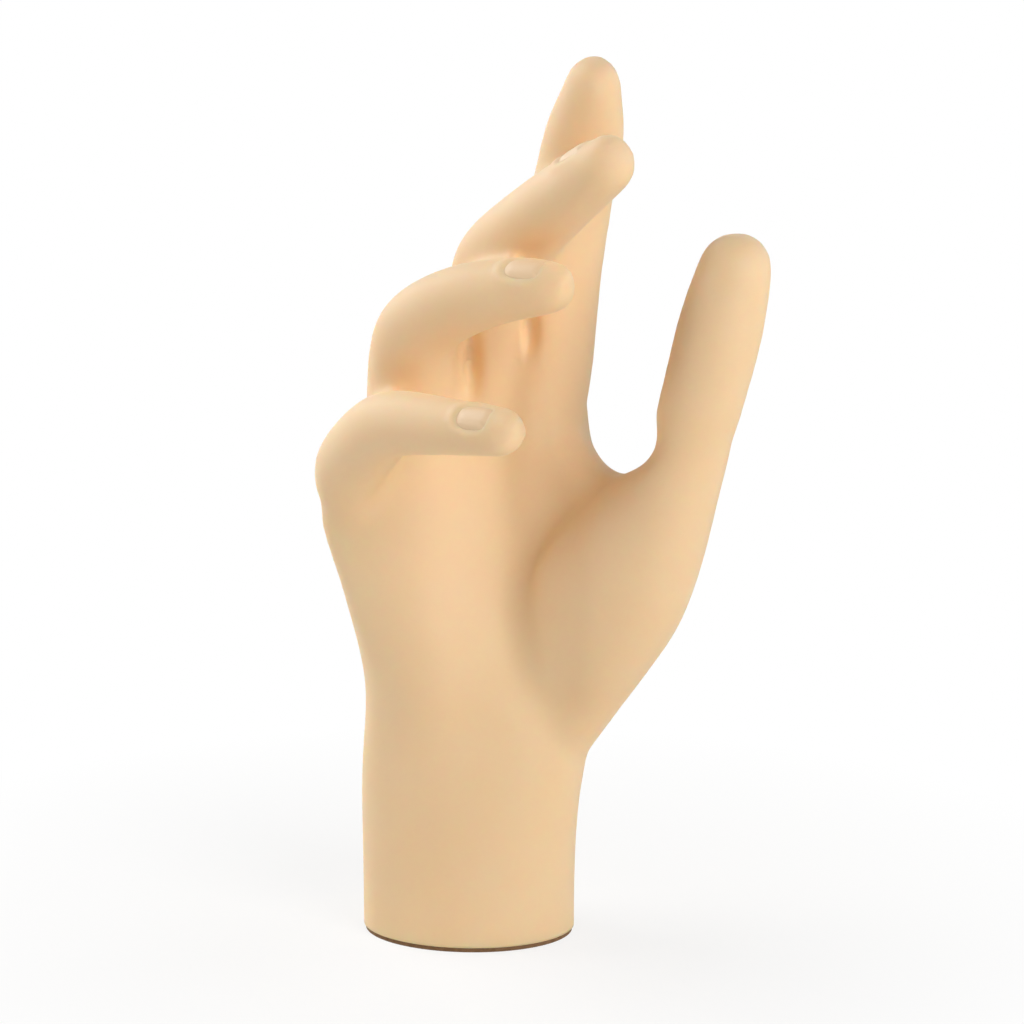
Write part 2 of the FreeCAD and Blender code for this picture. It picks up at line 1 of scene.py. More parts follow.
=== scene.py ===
# %% [markdown]
# # A moulded display hand
#
# Shops stand a hand like this on a counter to show rings, gloves or a phone. It is one smooth
# skin of soft matt vinyl, cast from a sculpted hand, so it has no seams and no joints. It is a
# right hand with its palm to the viewer: index finger and thumb up, the other three fingers
# curled forward. Five thin nails are set into the fingertips, the wrist is cut flat, and a
# thin brown pad closes it.
#
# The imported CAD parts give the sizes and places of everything. This script dresses them: the
# skin gets the soft blends between fingers that a cast has, the nails get their folds, and
# every piece gets its finish. First the parts are loaded and the size of their box is noted.

# %% Load the CAD parts
import math

import bpy
from mathutils import Matrix, Vector


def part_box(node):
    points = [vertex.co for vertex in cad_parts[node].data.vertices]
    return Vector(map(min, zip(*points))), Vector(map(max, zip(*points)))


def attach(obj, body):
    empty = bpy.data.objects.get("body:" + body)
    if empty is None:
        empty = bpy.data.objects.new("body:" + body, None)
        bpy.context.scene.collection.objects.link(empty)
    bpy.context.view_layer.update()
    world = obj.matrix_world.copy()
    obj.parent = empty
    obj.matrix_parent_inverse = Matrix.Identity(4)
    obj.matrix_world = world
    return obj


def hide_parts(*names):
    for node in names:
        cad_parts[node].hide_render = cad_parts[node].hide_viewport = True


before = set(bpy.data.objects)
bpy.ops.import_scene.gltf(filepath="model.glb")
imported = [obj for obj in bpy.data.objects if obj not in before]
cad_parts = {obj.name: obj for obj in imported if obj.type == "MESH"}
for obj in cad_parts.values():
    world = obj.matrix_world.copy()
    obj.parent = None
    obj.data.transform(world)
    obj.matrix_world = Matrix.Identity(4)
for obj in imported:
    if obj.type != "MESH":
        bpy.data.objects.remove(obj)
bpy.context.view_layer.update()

# %% [markdown]
# ## The camera
#
# The photograph looks a little down on the hand, from straight in front of the palm, and the
# sides hardly converge, so it was taken with a long lens from about a metre away. The camera
# is placed on that line of sight and aimed at the middle of the picture.

# %% Camera at the photograph's viewing angle
AIM = Vector((0.0106, 0.0, 0.1045))
CAMERA_DISTANCE = 0.95
CAMERA_ELEVATION = math.radians(13)
LENS_MM = 139.15
NEAREST_SEEN = 0.05

towards_camera = Vector((0, -math.cos(CAMERA_ELEVATION), math.sin(CAMERA_ELEVATION)))
camera = bpy.data.objects.new("camera", bpy.data.cameras.new("camera"))
camera.data.lens = LENS_MM
camera.data.clip_start = NEAREST_SEEN
camera.location = AIM + towards_camera * CAMERA_DISTANCE
camera.rotation_euler = towards_camera.to_track_quat("Z", "Y").to_euler()
bpy.context.scene.collection.objects.link(camera)
bpy.context.scene.camera = camera
print("camera at", [round(v, 3) for v in camera.location])

# %% [markdown]
# ## Small helpers
#
# Operators act on all that is selected, and loading leaves the CAD parts selected. So each
# piece is picked alone before anything is done to it. Modifiers are applied at once, as a
# modeller would who is happy with a step and goes on to the next.


# %% Picking one piece, and finishing a modifier
def pick(piece):
    bpy.ops.object.select_all(action="DESELECT")
    piece.select_set(True)
    bpy.context.view_layer.objects.active = piece
    return piece


def apply(piece, kind, **settings):
    pick(piece)
    modifier = piece.modifiers.new(kind.lower(), kind)
    for name, value in settings.items():
        setattr(modifier, name, value)
    bpy.ops.object.modifier_apply(modifier=modifier.name)


def select_faces(piece, wanted):
    """In edit mode, only the faces for which wanted(face) is true are selected."""
    pick(piece)
    bpy.ops.object.mode_set(mode="EDIT")
    bpy.ops.mesh.select_mode(type="FACE")
    bpy.ops.mesh.select_all(action="DESELECT")
    bpy.ops.object.mode_set(mode="OBJECT")
    for face in piece.data.polygons:
        face.select = wanted(face)
    bpy.ops.object.mode_set(mode="EDIT")


def triangles(piece):
    piece.data.calc_loop_triangles()
    return len(piece.data.loop_triangles)


# %% [markdown]
# ## The skin, from the CAD shell
#
# The CAD shell is a union of a palm and five digits, so it has a sharp valley wherever two of
# them meet. A cast has soft valleys there. A ball rolled round the outside gives just that:
# the skin is grown by the ball's radius, made one surface again, and shrunk back by the same
# radius. Ridges come back as they were, and valleys are left rounded. The ball is largest
# between the thumb and the palm, smaller at the roots of the fingers, and almost nothing where
# two curled fingers pass close by each other, so that the gap between them stays open.
#
# The shell is hollow, so its outside is taken off first.

# %% Copy the outside of the shell
MERGE = 0.00001
RIM_SLACK = 0.0001
rim_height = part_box("hand_shell")[0].z


def copy_of(node, name):
    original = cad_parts[node]
    piece = bpy.data.objects.new(name, original.data.copy())
    piece.data.name = name
    piece.data.materials.clear()
    bpy.context.scene.collection.objects.link(piece)
    pick(piece)
    bpy.ops.object.mode_set(mode="EDIT")
    bpy.ops.mesh.select_all(action="SELECT")
    bpy.ops.mesh.remove_doubles(threshold=MERGE)
    bpy.ops.object.mode_set(mode="OBJECT")
    return piece


def on_rim(piece):
    corners = piece.data.vertices
    return lambda face: all(corners[v].co.z < rim_height + RIM_SLACK for v in face.vertices)


shell = copy_of("hand_shell", "shell")
select_faces(shell, on_rim(shell))
bpy.ops.mesh.delete(type="FACE")
bpy.ops.mesh.select_all(action="SELECT")
bpy.ops.mesh.separate(type="LOOSE")
bpy.ops.object.mode_set(mode="OBJECT")
walls = sorted(bpy.context.selected_objects, key=lambda wall: -wall.dimensions.z)
print("walls:", [(wall.name, [round(1000 * v, 1) for v in wall.dimensions]) for wall in walls])

# %% [markdown]
# Two open places are closed before the ball rolls. The wrist is drawn down below the table and
# capped, so that its rim can be cut clean later, and the CAD nails fill the nail beds. A voxel
# remesh then makes one closed surface of it all.

# %% Close the wrist and the nail beds
RUN_ON = 0.006
GRID = 0.00115


def select_open_edges(piece):
    pick(piece)
    bpy.ops.object.mode_set(mode="EDIT")
    bpy.ops.mesh.select_mode(type="EDGE")
    bpy.ops.mesh.select_all(action="DESELECT")
    bpy.ops.mesh.select_non_manifold(
        extend=False, use_wire=False, use_boundary=True,
        use_multi_face=False, use_non_contiguous=False, use_verts=False)


def run_on_and_cap(piece, depth):
    """The open wrist is drawn straight down by a depth and closed."""
    select_open_edges(piece)
    bpy.ops.mesh.extrude_region_move(TRANSFORM_OT_translate={"value": (0, 0, -depth)})
    bpy.ops.mesh.edge_face_add()
    bpy.ops.mesh.select_mode(type="VERT")
    bpy.ops.object.mode_set(mode="OBJECT")


skin, hollow = walls[0], walls[1]
run_on_and_cap(skin, RUN_ON)
hollow.name = "hollow"

DIGITS = ("thumb", "index", "middle", "ring", "little")
fillings = [copy_of(digit + "_nail", digit + "_filling") for digit in DIGITS]
pick(skin)
for filling in fillings:
    filling.select_set(True)
bpy.ops.object.join()
skin.name = skin.data.name = "hand_skin"
apply(skin, "REMESH", mode="VOXEL", voxel_size=GRID)
print("closed skin:", triangles(skin), "triangles")

# %% [markdown]
# The ball's size is written in a vertex group, which scales the Displace modifier from place to
# place. When the skin is shrunk back, each vertex has to move by the size that the ball had
# where it comes from. That place isn't known before, so it is found in a few tries.

# %% Roll the ball
BALL = 0.0045
ROOT_SHARE = 0.27
FINGER_SHARE = 0.12
TRIES = 3
# where the ball starts to change its size, and over what distance
ROOTS_FROM_Y, ROOTS_OVER = -0.028, 0.010
THUMB_BELOW_Z, THUMB_OVER_Z = 0.136, 0.012
THUMB_FROM_X, THUMB_OVER_X = -0.008, 0.020
PALM_FROM_Z, PALM_OVER = 0.035, 0.020


def smooth_step(value):
    value = min(1.0, max(0.0, value))
    return value * value * (3 - 2 * value)


def ball_share(place):
    """How large the rolling ball is at a place: 1 beside the thumb, least in front."""
    at_roots = smooth_step((place.y - ROOTS_FROM_Y) / ROOTS_OVER)
    least = FINGER_SHARE + (ROOT_SHARE - FINGER_SHARE) * at_roots
    at_thumb = smooth_step((THUMB_BELOW_Z - place.z) / THUMB_OVER_Z)
    at_thumb *= smooth_step((place.x - THUMB_FROM_X) / THUMB_OVER_X)
    at_thumb *= smooth_step((place.z - PALM_FROM_Z) / PALM_OVER)
    return least + (1 - least) * at_thumb


def roll_ball(piece, grow):
    """Grow by the ball, or shrink by it: then its size is that of the place it returns to."""
    piece.vertex_groups.clear()
    group = piece.vertex_groups.new(name="ball")
    for vertex in piece.data.vertices:
        share = ball_share(vertex.co)
        for again in range(0 if grow else TRIES):
            share = ball_share(vertex.co - vertex.normal * (BALL * share))
        group.add([vertex.index], share, "REPLACE")
    apply(piece, "DISPLACE", strength=BALL if grow else -BALL, mid_level=0, vertex_group="ball")
    apply(piece, "REMESH", mode="VOXEL", voxel_size=GRID)


roll_ball(skin, True)
roll_ball(skin, False)
print("rolled skin:", triangles(skin), "triangles,", [round(1000 * v, 1) for v in skin.dimensions])

# %% [markdown]
# Between thumb and index finger the photograph shows a round bottom. A rod pushed through there
# along the line of sight gives it: vertices inside the rod's circle move out to it, those near
# it move a little, and the place is smoothed. Then the whole skin is smoothed lightly, which
# takes away the steps that a voxel remesh leaves.

# %% Open the crotch of the thumb, and smooth
CROTCH_IN_VIEW = (0.0273, 0.0165)
CROTCH_RADIUS = 0.0065
CROTCH_SOFTNESS = 0.0016
CROTCH_SMOOTHING = 30
SKIN_SMOOTHING = 15


def open_crotch(piece):
    """A round bottom, as seen by the camera, about a place measured from what it aims at."""
    view_up = Vector((0, math.sin(CAMERA_ELEVATION), math.cos(CAMERA_ELEVATION)))
    group = piece.vertex_groups.new(name="crotch")
    for vertex in piece.data.vertices:
        seen = vertex.co - AIM
        across, up = seen.x - CROTCH_IN_VIEW[0], seen.dot(view_up) - CROTCH_IN_VIEW[1]
        distance = math.hypot(across, up)
        if distance < 2 * CROTCH_RADIUS:
            beyond = distance - CROTCH_RADIUS
            pushed = CROTCH_RADIUS + (beyond + math.hypot(beyond, CROTCH_SOFTNESS)) / 2
            grow = (pushed - distance) * smooth_step(2 - distance / CROTCH_RADIUS) / distance
            vertex.co += Vector((across, 0, 0)) * grow + view_up * (up * grow)
            group.add([vertex.index], smooth_step(2 - distance / CROTCH_RADIUS), "REPLACE")
    apply(piece, "SMOOTH", factor=0.5, iterations=CROTCH_SMOOTHING, vertex_group="crotch")
    piece.vertex_groups.clear()


open_crotch(skin)
apply(skin, "SMOOTH", factor=0.5, iterations=SKIN_SMOOTHING)
print("smooth skin:", [round(1000 * v, 1) for v in skin.dimensions])

# %% [markdown]
# ## The forms of the palm
#
# The palm of a cast hand isn't a plain dish. A low ridge runs up its outer half, the ball of the
# thumb rises steeply from a valley beside it, and where the ring and middle fingers leave the
# palm a narrow dark gap lies beside each root. The ridge and the ball are a millimetre of
# height over a wide band. Each form is a height in metres, by which the vertices that face the
# viewer move along their normals.

# %% Ridge, valley and ball of the thumb
PALM_FRONT = -0.045
FACING_GAIN = 1.6
PALM_FORMS = [
    # from x and z to x and z, height, width of the band, all in metres
    ((-0.012, 0.108), (-0.010, 0.050), 0.0012, 0.010),
    ((0.020, 0.112), (0.022, 0.062), -0.0016, 0.006),
    ((0.047, 0.112), (0.042, 0.070), 0.0006, 0.011),
]


def bump(distance, width):
    return math.exp(-((distance / width) ** 2))


def palm_height(place, facing):
    height = 0
    for (x0, z0), (x1, z1), rise, width in PALM_FORMS:
        run = Vector((x1 - x0, z1 - z0))
        share = Vector((place.x - x0, place.z - z0)).dot(run) / run.length_squared
        nearest = Vector((x0, z0)) + run * min(1.0, max(0.0, share))
        height += rise * bump((Vector((place.x, place.z)) - nearest).length, width)
    return height * facing


def move_front(piece, height_at, nearest_y):
    """Vertices that face the viewer, and lie no nearer than a plane, move by a height."""
    moves = []
    for vertex in piece.data.vertices:
        facing = smooth_step(-FACING_GAIN * vertex.normal.y)
        if facing and vertex.co.y > nearest_y:
            moves.append((vertex, vertex.normal * height_at(vertex.co, facing)))
    for vertex, move in moves:
        vertex.co += move


move_front(skin, palm_height, PALM_FRONT)
print("palm forms, mm high:", [round(1000 * rise, 1) for start, end, rise, width in PALM_FORMS])

# %% [markdown]
# The gaps at the roots of the fingers are narrow and deep. The mesh would be too coarse for
# them, so the faces beside them are subdivided first.

# %% Gaps between the fingers
GAP_FRONT = -0.024
GAP_REACH_X = 0.007
GAP_REACH_Z = 0.013
FINE_CUTS = 2
FINE_ROUNDING = 0.6
FINGER_GAPS = [
    # middle x and z, half length, width to its left and to its right, depth, in metres
    (0.0005, 0.1430, 0.0065, 0.0008, 0.0023, 0.0030),
    (0.0140, 0.1515, 0.0050, 0.0008, 0.0024, 0.0030),
]


def gap_height(place, facing):
    height = 0
    for x, z, half_length, left, right, depth in FINGER_GAPS:
        across = place.x - x
        width = left if across < 0 else right
        height -= depth * bump(across, width) * bump(place.z - z, half_length)
    return height * facing


def beside_gap(face):
    middle = face.center
    return middle.y > GAP_FRONT and face.normal.y < 0 and any(
        abs(middle.x - x) < GAP_REACH_X and abs(middle.z - z) < GAP_REACH_Z
        for x, z, *rest in FINGER_GAPS)


def refine(piece, wanted):
    select_faces(piece, wanted)
    bpy.ops.mesh.subdivide(number_cuts=FINE_CUTS, smoothness=FINE_ROUNDING)
    bpy.ops.object.mode_set(mode="OBJECT")


refine(skin, beside_gap)
move_front(skin, gap_height, GAP_FRONT)
print("skin with palm forms:", triangles(skin), "triangles")

# %% [markdown]
# ## Fingertips and nails
#
# A nail grows out of a groove. Behind it and beside it the skin makes a low fold, inside the
# fold is the groove that the plate comes out of, and past its far end the tip of the finger
# swells up a little. All of this is under a millimetre high, but the light picks it out, so the
# skin gets a finer mesh there and is moved by these few heights.

# %% Where each nail lies
# each fingertip's lean to the thumb's side and curl to the front, then the nail's turn, degrees
TIP_HEADINGS = {
    "thumb": (13, 4), "index": (8, 16), "middle": (44, 43), "ring": (82, 31), "little": (85, 39),
}
NAIL_TURN = {"thumb": 0, "index": 0, "middle": 13, "ring": 8, "little": 6}
TIP_RADIUS = 0.007
NAIL_HALF_WIDTH = 0.0038
NAIL_HALF_LENGTH = 0.0054
NAIL_SCALE = {"thumb": 1.3, "index": 1.0, "middle": 1.0, "ring": 0.95, "little": 0.88}
NAIL_SQUARENESS = 3.2


def nail_frame(digit):
    """The nail's middle on the skin, and its directions across, along and out."""
    lean, curl = (math.radians(angle) for angle in TIP_HEADINGS[digit])
    along = Vector((math.sin(lean) * math.cos(curl), -math.sin(curl),
                    math.cos(lean) * math.cos(curl)))
    low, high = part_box(digit + "_nail")
    found, middle, out, face = skin.closest_point_on_mesh((low + high) / 2)
    out = (out - along * out.dot(along)).normalized()
    turn = math.radians(NAIL_TURN[digit])
    turned = (out * math.cos(turn) - along.cross(out) * math.sin(turn)).normalized()
    beside = middle + (turned - out) * TIP_RADIUS
    found, middle, face_out, face = skin.closest_point_on_mesh(beside)
    return middle, along.cross(turned), along, turned


nail_frames = {digit: nail_frame(digit) for digit in DIGITS}
for digit, (middle, across, along, out) in nail_frames.items():
    print(digit, "nail at, mm:", [round(1000 * v, 1) for v in middle],
          "facing", [round(v, 2) for v in out])

# %% Heights round a nail
# in metres
FOLD_HEIGHT = 0.00030
FOLD_PLACE = 0.0012
FOLD_WIDTH = 0.0008
GROOVE_DEPTH = 0.00035
GROOVE_WIDTH = 0.00045
BED_DEPTH = 0.0009
BED_EDGE = 0.0006
TIP_SWELL = 0.00050
TIP_DIP = 0.00025
# place along the nail, length and width, in halves of the nail's own length and width
DIP_AT, DIP_LENGTH, DIP_WIDTH = 1.15, 0.30, 0.9
SWELL_AT, SWELL_LENGTH, SWELL_WIDTH = 1.85, 0.50, 1.0


def outline_share(x, y):
    """1 on the nail's outline, less inside it and more outside."""
    return (abs(x) ** NAIL_SQUARENESS + abs(y) ** NAIL_SQUARENESS) ** (1 / NAIL_SQUARENESS)


def skin_height(x, y, half_width):
    """How far the skin moves out, at x across and y along in halves of the nail's size."""
    outside = (outline_share(x, y) - 1) * half_width
    root = smooth_step(0.75 - 0.75 * y)
    height = FOLD_HEIGHT * root * bump(outside - FOLD_PLACE, FOLD_WIDTH)
    height -= GROOVE_DEPTH * root * bump(outside, GROOVE_WIDTH)
    height -= TIP_DIP * bump(y - DIP_AT, DIP_LENGTH) * bump(x, DIP_WIDTH)
    height += TIP_SWELL * bump(y - SWELL_AT, SWELL_LENGTH) * bump(x, SWELL_WIDTH)
    if outside < 0:
        height -= BED_DEPTH * smooth_step(-outside / BED_EDGE) * (1 - smooth_step(2 * y - 0.9))
    return height


print("fold", 1000 * FOLD_HEIGHT, "mm high, groove", 1000 * GROOVE_DEPTH, "mm deep")


# %% Finer mesh at the fingertips, moved by those heights
NAIL_REACH = 2.3
TIP_DEPTH = 0.006


def on_nail(point, digit):
    """A point's place across and along the nail, and whether it is near the nail."""
    middle, across, along, out = nail_frames[digit]
    scale = NAIL_SCALE[digit]
    step = point - middle
    x = step.dot(across) / (NAIL_HALF_WIDTH * scale)
    y = step.dot(along) / (NAIL_HALF_LENGTH * scale)
    beside = abs(x) < NAIL_REACH and abs(y) < NAIL_REACH
    return x, y, beside and step.dot(out) > -TIP_DEPTH * scale


smooth_skin = skin.copy()
smooth_skin.data = skin.data.copy()
smooth_skin.name = "smooth_skin"
bpy.context.scene.collection.objects.link(smooth_skin)
for digit in DIGITS:
    refine(skin, lambda face: on_nail(face.center, digit)[2])
    out = nail_frames[digit][3]
    half_width = NAIL_HALF_WIDTH * NAIL_SCALE[digit]
    moves = []
    for vertex in skin.data.vertices:
        x, y, close = on_nail(vertex.co, digit)
        facing = smooth_step(2 * vertex.normal.dot(out)) if close else 0
        if facing:
            moves.append((vertex, vertex.normal * (skin_height(x, y, half_width) * facing)))
    for vertex, move in moves:
        vertex.co += move
print("skin with fingertips:", triangles(skin), "triangles")

# %% [markdown]
# ## The nail plates
#
# A nail is a thin plate, curved across like a roof tile and a little along. Each starts as a
# flat grid over its fingertip, is rounded to the nail's outline, laid on the finger by a
# shrinkwrap, crowned in its middle, and given its thickness.

# %% Five nails
PLATE_THICKNESS = 0.0009
PLATE_CROWN = 0.00055
CROWN_FLATNESS = 5
PLATE_EDGE = -0.00040
PLATE_SINK = 0.00060
SINK_FROM = 0.55
SINK_RATE = 2.5
PLATE_CUTS = 30
LIFT = 0.006


def make_nail(digit):
    middle, across, along, out = nail_frames[digit]
    scale = NAIL_SCALE[digit]
    turn = Matrix((across, along, out)).transposed().to_euler()
    bpy.ops.object.select_all(action="DESELECT")
    bpy.ops.mesh.primitive_grid_add(x_subdivisions=PLATE_CUTS, y_subdivisions=PLATE_CUTS, size=2,
                                    location=middle + out * LIFT, rotation=turn)
    nail = bpy.context.object
    nail.name = nail.data.name = digit + "_nail_plate"
    heights = []
    for vertex in nail.data.vertices:
        x, y = vertex.co.x, vertex.co.y
        reach = max(abs(x), abs(y))
        round_it = reach / outline_share(x, y) if reach else 0
        sink = PLATE_SINK * smooth_step(SINK_RATE * (y - SINK_FROM))
        heights.append(PLATE_EDGE + PLATE_CROWN * (1 - reach ** CROWN_FLATNESS) - sink)
        vertex.co = (x * round_it * NAIL_HALF_WIDTH * scale,
                     y * round_it * NAIL_HALF_LENGTH * scale, 0)
    apply(nail, "SHRINKWRAP", target=smooth_skin, wrap_method="PROJECT", use_project_z=True,
          use_negative_direction=True, use_positive_direction=False)
    for vertex, height in zip(nail.data.vertices, heights):
        vertex.co.z += height
    bpy.ops.object.transform_apply(location=True, rotation=True, scale=True)
    apply(nail, "SOLIDIFY", thickness=PLATE_THICKNESS, offset=-1)
    bpy.ops.object.shade_smooth()
    return nail


nails = {digit: make_nail(digit) for digit in DIGITS}
print({nail.name: triangles(nail) for nail in nails.values()})

# %% [markdown]
# ## The cut wrist
#
# The skin still runs on below the table. It is cut straight through at the rim's height, and
# the ring between its outer edge and the hollow's edge is bridged, so that the wall's real
# thickness shows.

# %% Cut the rim and join the hollow
SHARP_FROM = math.radians(50)
pick(skin)
bpy.ops.object.mode_set(mode="EDIT")
bpy.ops.mesh.select_mode(type="VERT")
bpy.ops.mesh.select_all(action="SELECT")
bpy.ops.mesh.bisect(plane_co=(0, 0, rim_height), plane_no=(0, 0, 1), clear_inner=True)
bpy.ops.object.mode_set(mode="OBJECT")
pick(skin)
hollow.select_set(True)
bpy.ops.object.join()
select_open_edges(skin)
bpy.ops.mesh.bridge_edge_loops()
bpy.ops.mesh.select_mode(type="VERT")
bpy.ops.mesh.select_all(action="SELECT")
bpy.ops.mesh.normals_make_consistent(inside=False)
bpy.ops.object.mode_set(mode="OBJECT")
bpy.ops.object.shade_smooth_by_angle(angle=SHARP_FROM)
bpy.data.objects.remove(smooth_skin)
print("finished skin:", triangles(skin), "triangles,",
      [round(1000 * v, 1) for v in skin.dimensions])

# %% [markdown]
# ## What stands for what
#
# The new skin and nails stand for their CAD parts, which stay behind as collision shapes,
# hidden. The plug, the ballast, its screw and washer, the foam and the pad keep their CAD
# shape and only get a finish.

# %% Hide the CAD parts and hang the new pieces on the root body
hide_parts("hand_shell")
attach(skin, "root")
for digit, nail in nails.items():
    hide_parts(digit + "_nail")
    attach(nail, "root")

# %% [markdown]
# ## Finishes
#
# Colours are written as they look on screen, in hexadecimal, and turned into the linear values
# that the shader works with. One small helper adds a node, sets it and links it.


# %% Colour and node helpers
def linear(hex_colour):
    channels = [int(hex_colour[k:k + 2], 16) / 255 for k in (1, 3, 5)]
    return [c / 12.92 if c <= 0.04045 else ((c + 0.055) / 1.055) ** 2.4 for c in channels] + [1.0]


def add_node(material, kind, links=(), **settings):
    """links are (own input, other node, its output)."""
    node = material.node_tree.nodes.new("ShaderNode" + kind)
    for name, value in settings.items():
        if name in node.inputs:
            node.inputs[name].default_value = value
        else:
            setattr(node, name, value)
    for own, other, output in links:
        material.node_tree.links.new(node.inputs[own], other.outputs[output])
    return node


def new_material(name):
    material = bpy.data.materials.new(name)
    material.use_nodes = True
    shader = material.node_tree.nodes["Principled BSDF"]
    return material, shader


def connect(material, shader, own, other, output):
    material.node_tree.links.new(shader.inputs[own], other.outputs[output])


def give(piece, material):
    piece.data.materials.clear()
    piece.data.materials.append(material)


# %% [markdown]
# ### Soft vinyl
#
# The skin is soft PVC, cast in a mould and left matt. Light goes a few millimetres into it and
# comes out warmer, which softens the edges of shadows and makes the gaps between the fingers
# glow orange. Its colour is nearly even, with faint clouds where the pigment mixed less well,
# and the mould leaves a very fine orange-peel texture.

# %% Vinyl skin and nails
SKIN_COLOUR = "#f7d6ab"
SKIN_CLOUD = "#f5d3a6"
NAIL_COLOUR = "#f3d2aa"
CLOUDS_PER_M = 45
PEEL_PER_M = 900
PEEL_HEIGHT = 0.0002
PEEL_STRENGTH = 0.06
VINYL_IOR = 1.45
SCATTER_DEPTH = 0.003
SCATTER_RADIUS = (1.0, 0.42, 0.18)


def vinyl(name, colour, cloud, roughness, scatter):
    material, shader = new_material(name)
    place = add_node(material, "TexCoord")
    clouds = add_node(material, "TexNoise", [("Vector", place, "Object")],
                      Scale=CLOUDS_PER_M, Detail=3.0)
    ramp = add_node(material, "ValToRGB", [("Fac", clouds, "Fac")])
    ramp.color_ramp.elements[0].position = 0.35
    ramp.color_ramp.elements[0].color = linear(cloud)
    ramp.color_ramp.elements[1].position = 0.65
    ramp.color_ramp.elements[1].color = linear(colour)
    connect(material, shader, "Base Color", ramp, "Color")
    peel = add_node(material, "TexNoise", [("Vector", place, "Object")],
                    Scale=PEEL_PER_M, Detail=2.0)
    relief = add_node(material, "Bump", [("Height", peel, "Fac")],
                      Strength=PEEL_STRENGTH, Distance=PEEL_HEIGHT)
    connect(material, shader, "Normal", relief, "Normal")
    shader.inputs["Roughness"].default_value = roughness
    shader.inputs["IOR"].default_value = VINYL_IOR
    shader.inputs["Subsurface Weight"].default_value = scatter
    shader.inputs["Subsurface Radius"].default_value = SCATTER_RADIUS
    shader.inputs["Subsurface Scale"].default_value = SCATTER_DEPTH
    return material


give(skin, vinyl("matt_cast_vinyl", SKIN_COLOUR, SKIN_CLOUD, 0.55, 0.6))
nail_vinyl = vinyl("satin_nail_vinyl", NAIL_COLOUR, NAIL_COLOUR, 0.42, 0.0)
for nail in nails.values():
    give(nail, nail_vinyl)

# %% [markdown]
# ### The pieces inside the wrist
#
# They are seen only by someone who opens the hand: a moulded plug, a turned steel bar, a zinc
# plated screw and washer, soft foam, and the felt-like rubber pad whose edge is the brown line
# under the rim.


# %% Plug, steel, foam and pad
def speckled(name, colour, fleck, per_m, roughness, relief, metallic=0.0, stretch=(1, 1, 1)):
    """Two near colours in a fine grain, which also gives a relief of some depth in metres."""
    material, shader = new_material(name)
    place = add_node(material, "TexCoord")
    mapping = add_node(material, "Mapping", [("Vector", place, "Object")], Scale=stretch)
    grain = add_node(material, "TexNoise", [("Vector", mapping, "Vector")],
                     Scale=per_m, Detail=4.0)
    ramp = add_node(material, "ValToRGB", [("Fac", grain, "Fac")])
    ramp.color_ramp.elements[0].position = 0.3
    ramp.color_ramp.elements[0].color = linear(fleck)
    ramp.color_ramp.elements[1].position = 0.7
    ramp.color_ramp.elements[1].color = linear(colour)
    connect(material, shader, "Base Color", ramp, "Color")
    bumps = add_node(material, "Bump", [("Height", grain, "Fac")], Strength=0.4, Distance=relief)
    connect(material, shader, "Normal", bumps, "Normal")
    shader.inputs["Roughness"].default_value = roughness
    shader.inputs["Metallic"].default_value = metallic
    return material


plug_plastic = speckled("moulded_polypropylene", "#ddd0b8", "#d3c5ab", 400, 0.5, 0.0001)
turned_steel = speckled("turned_steel", "#b9babd", "#9b9ca0", 500, 0.35, 0.00005, 1.0, (1, 1, 12))
zinc_plate = speckled("zinc_plated_steel", "#c9ccd0", "#aeb4bc", 900, 0.3, 0.00003, 1.0)
soft_foam = speckled("open_cell_foam", "#efe6cf", "#cfc3a4", 1200, 0.9, 0.0006)
pad_rubber = speckled("cellular_rubber", "#8a6a4c", "#745638", 900, 0.85, 0.0002)
FINISHES = {
    "wrist_plug": plug_plastic, "ballast_weight": turned_steel, "ballast_bolt": zinc_plate,
    "ballast_washer": zinc_plate, "foam_core": soft_foam, "base_pad": pad_rubber,
}
for node, material in FINISHES.items():
    give(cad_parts[node], material)
print("finishes:", sorted(material.name for material in bpy.data.materials))

# %% [markdown]
# ## Studio
#
# The floor is a large pale sheet that sweeps up behind the hand. The photograph's background is
# pure white, so the camera sees the floor mostly as plain white, and the rest of it takes the
# shadow. The light comes from five large soft lamps: the key is ahead and to the right, two
# lamps at the left fill the shadow side and one of them is high, and two behind the hand on
# either side brighten its edges. The surroundings give only a faint glow, but the camera, and
# reflections in the steel, see them as white.

# %% Floor
FLOOR_SIZE = 6.0
FLOOR_WHITE = "#f4f2ee"
# the share of plain white that the camera sees, from near the hand to far from it
WHITE_FROM, WHITE_TO = 0.06, 0.18
LEAST_WHITE, MOST_WHITE = 0.80, 1.0
bpy.ops.object.select_all(action="DESELECT")
bpy.ops.mesh.primitive_plane_add(size=FLOOR_SIZE)
floor = bpy.context.object
floor.name = "floor"
paper, shader = new_material("white_paper")
shader.inputs["Base Color"].default_value = linear(FLOOR_WHITE)
shader.inputs["Roughness"].default_value = 0.9
seen = add_node(paper, "LightPath")
place = add_node(paper, "TexCoord")
distance = add_node(paper, "VectorMath", [(0, place, "Object")], operation="LENGTH")
whiter = add_node(paper, "MapRange", [("Value", distance, "Value")])
whiter.inputs["From Min"].default_value = WHITE_FROM
whiter.inputs["From Max"].default_value = WHITE_TO
whiter.inputs["To Min"].default_value = LEAST_WHITE
whiter.inputs["To Max"].default_value = MOST_WHITE
share = add_node(paper, "Math", [(0, seen, "Is Camera Ray"), (1, whiter, "Result")],
                 operation="MULTIPLY")
white = add_node(paper, "Emission", Strength=1.0)
mixed = add_node(paper, "MixShader", [("Fac", share, "Value")])
links = paper.node_tree.links
links.new(mixed.inputs[1], shader.outputs["BSDF"])
links.new(mixed.inputs[2], white.outputs["Emission"])
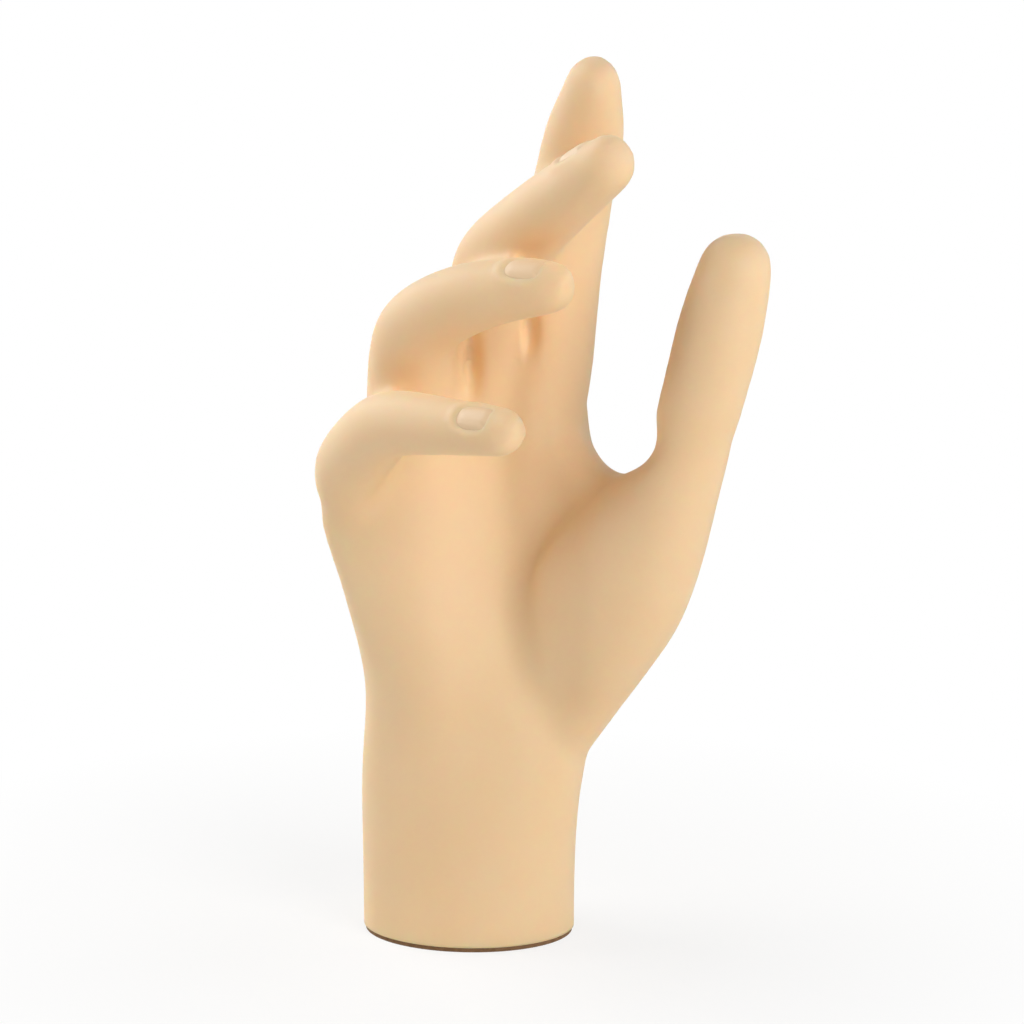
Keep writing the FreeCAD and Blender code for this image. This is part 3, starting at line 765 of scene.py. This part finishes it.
links.new(paper.node_tree.nodes["Material Output"].inputs["Surface"], mixed.outputs["Shader"])
give(floor, paper)
print("floor", FLOOR_SIZE, "m wide")

# %% Lamps
LIT_POINT = Vector((0.01, 0, 0.11))
LAMP_DISTANCE = 1.3
LAMP_SIDE = 0.7
LAMPS = {
    # name: degrees round from the camera to the right, degrees up, watts
    "key_right": (35, 24, 10.6),
    "rim_right": (110, 25, 3.2),
    "fill_left": (-95, 20, 5.4),
    "top_left": (-110, 50, 5.8),
    "rim_left": (-135, 25, 4.3),
}
for name, (round_angle, up_angle, power) in LAMPS.items():
    turn, up = math.radians(round_angle), math.radians(up_angle)
    direction = Vector((math.sin(turn) * math.cos(up), -math.cos(turn) * math.cos(up),
                        math.sin(up)))
    lamp = bpy.data.objects.new(name, bpy.data.lights.new(name, "AREA"))
    lamp.data.size = LAMP_SIDE
    lamp.data.energy = power
    lamp.location = LIT_POINT + direction * LAMP_DISTANCE
    lamp.rotation_euler = direction.to_track_quat("Z", "Y").to_euler()
    bpy.context.scene.collection.objects.link(lamp)

print("lamps:", sorted(LAMPS))

# %% Glow all round, white to the camera and in reflections
GLOW = 0.03
world = bpy.data.worlds.new("studio")
world.use_nodes = True
bpy.context.scene.world = world
sky = world.node_tree.nodes["Background"]
seen = world.node_tree.nodes.new("ShaderNodeLightPath")
white_to = seen.outputs["Is Camera Ray"]
for ray in ("Is Glossy Ray", "Is Transmission Ray"):
    either = world.node_tree.nodes.new("ShaderNodeMath")
    either.operation = "MAXIMUM"
    world.node_tree.links.new(either.inputs[0], white_to)
    world.node_tree.links.new(either.inputs[1], seen.outputs[ray])
    white_to = either.outputs["Value"]
strength = world.node_tree.nodes.new("ShaderNodeMix")
strength.inputs["A"].default_value = GLOW
strength.inputs["B"].default_value = 1.0
world.node_tree.links.new(strength.inputs["Factor"], white_to)
world.node_tree.links.new(sky.inputs["Strength"], strength.outputs["Result"])
sky.inputs["Color"].default_value = (1, 1, 1, 1)
bpy.context.scene.view_settings.view_transform = "Standard"
print("glow", GLOW)
